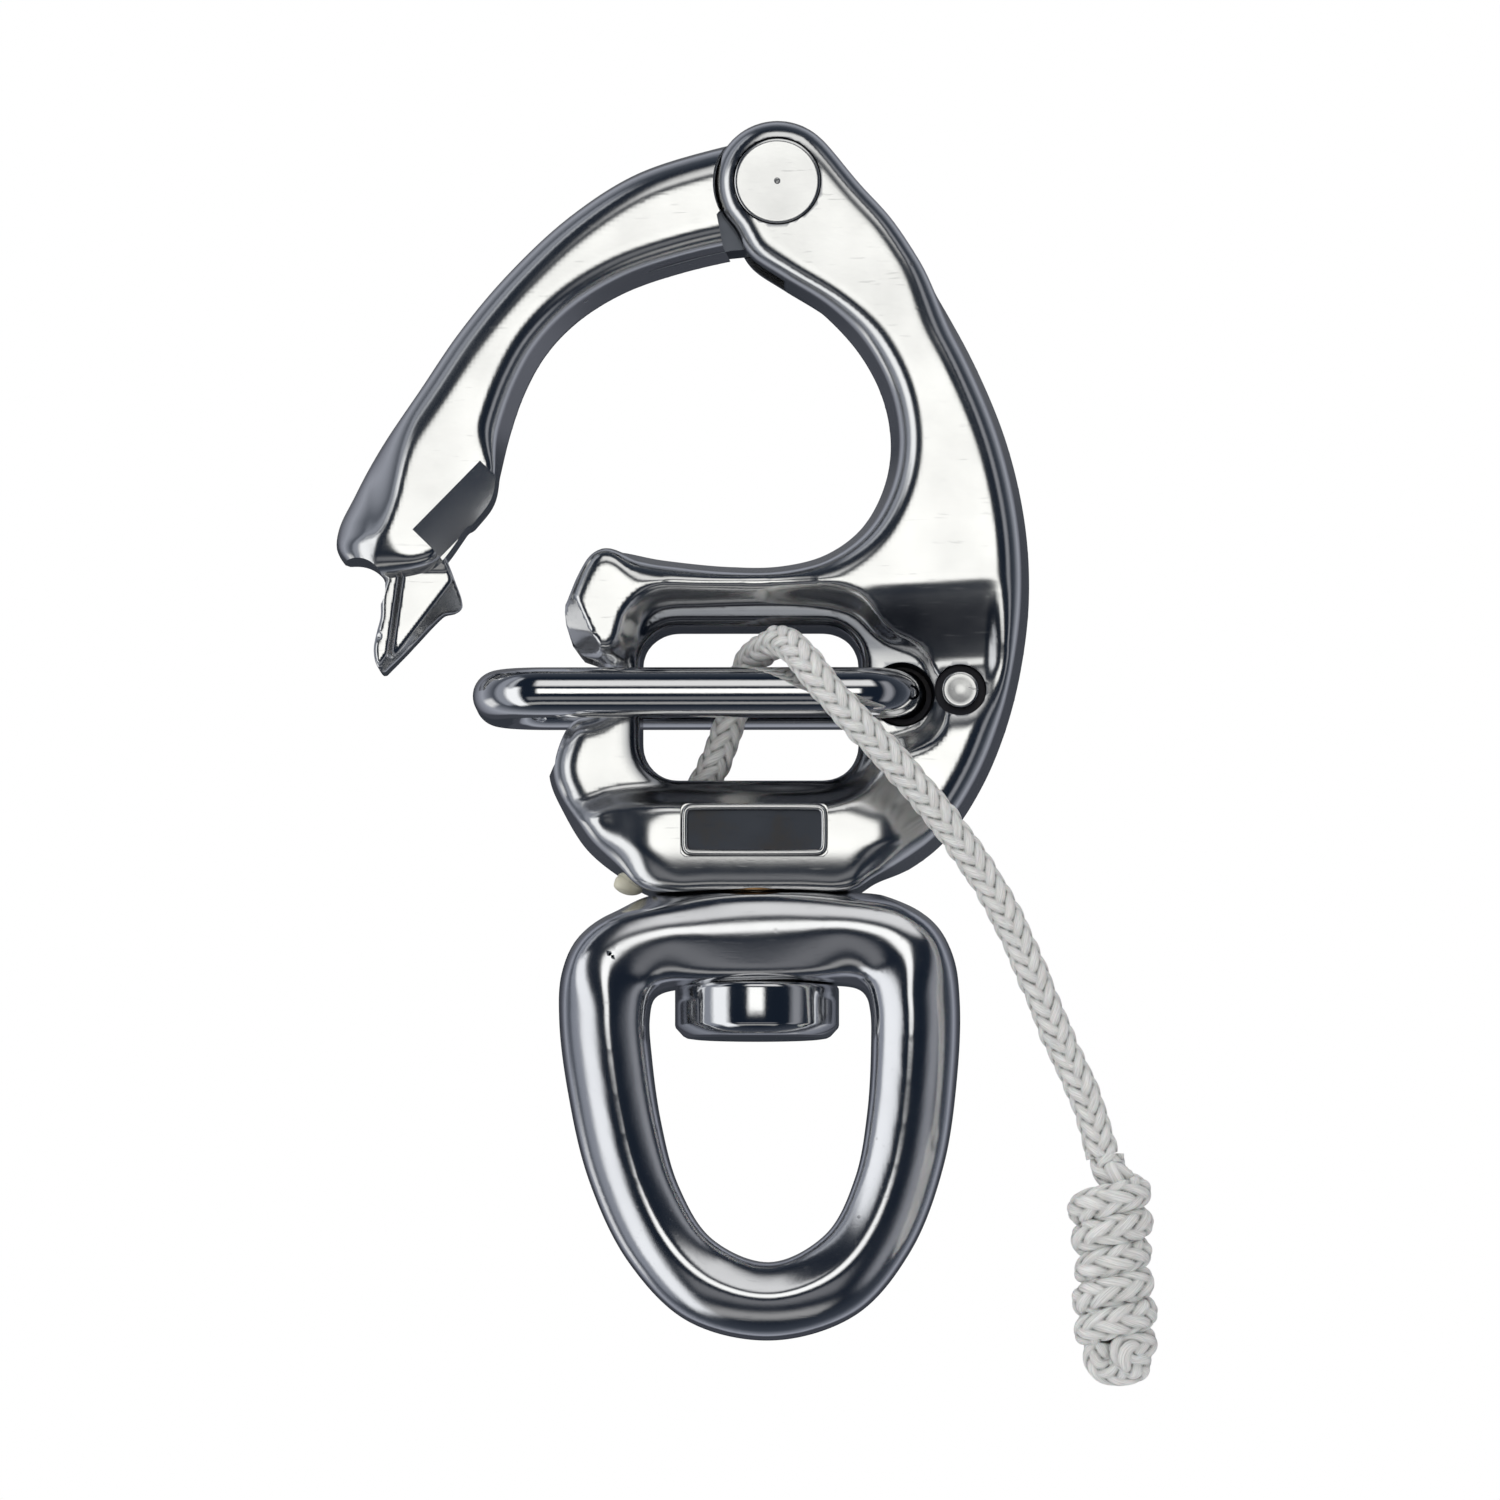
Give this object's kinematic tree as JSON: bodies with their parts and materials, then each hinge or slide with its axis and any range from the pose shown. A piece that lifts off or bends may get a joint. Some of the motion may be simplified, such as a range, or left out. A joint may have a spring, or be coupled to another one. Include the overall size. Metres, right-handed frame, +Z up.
{
  "type": "snap shackle",
  "caption": "Stainless swivel-eye snap shackle with a hinged bail arm, a sprung wire locking ring that catches the arm's nose, and a knotted release lanyard.",
  "frame": {"origin": "the inside of the swivel eye at its lowest point, where a load bears", "axes": "+Z up from the eye to the bail along the swivel axis; the flat of the shackle is the XZ plane with the arm on the -X side; the front faces -Y"},
  "size_m": [0.0607, 0.0195, 0.0928],
  "materials": {
    "forged_stainless": "tumble-polished stainless forging with fine pits and small scuffs",
    "polished_ring": "mirror-polished round stainless wire",
    "polished_eye": "polished stainless forging",
    "pin_steel": "ground and riveted stainless pin",
    "spring_steel": "drawn spring wire",
    "washer_bronze": "plain bearing bronze",
    "white_braid": "matt braided polyester cord",
    "sealed_braid": "heat-sealed cord end, slightly glossy"
  },
  "bodies": {
    "swivel_eye": {"swivel_eye": "polished_eye"},
    "shackle_body": {"body": "forged_stainless", "pivot_pin": "pin_steel", "return_spring": "spring_steel", "spring_pin": "pin_steel", "swivel_stud": "pin_steel", "thrust_washer": "washer_bronze", "lanyard": "white_braid", "stopper_knot": "white_braid", "lanyard_end": "sealed_braid"},
    "bail_arm": {"bail_arm": "forged_stainless"},
    "locking_ring": {"locking_ring": "polished_ring"}
  },
  "joints": [
    {"name": "swivel", "type": "hinge", "parent": "swivel_eye", "child": "shackle_body", "pos_m": [0, 0, 0.0235], "axis": [0, 0, 1], "continuous": true},
    {"name": "arm_hinge", "type": "hinge", "parent": "shackle_body", "child": "bail_arm", "pos_m": [0.00155, 0, 0.0796], "axis": [0, 1, 0], "range_deg": [-17.6, 72]},
    {"name": "ring_hinge", "type": "hinge", "parent": "shackle_body", "child": "locking_ring", "pos_m": [0.0107, 0, 0.0417], "axis": [0, -1, 0], "range_deg": [0, 13.5], "stiffness_Nm_per_rad": 0.1, "springref_deg": -34.38, "deforming": ["return_spring"]}
  ]
}
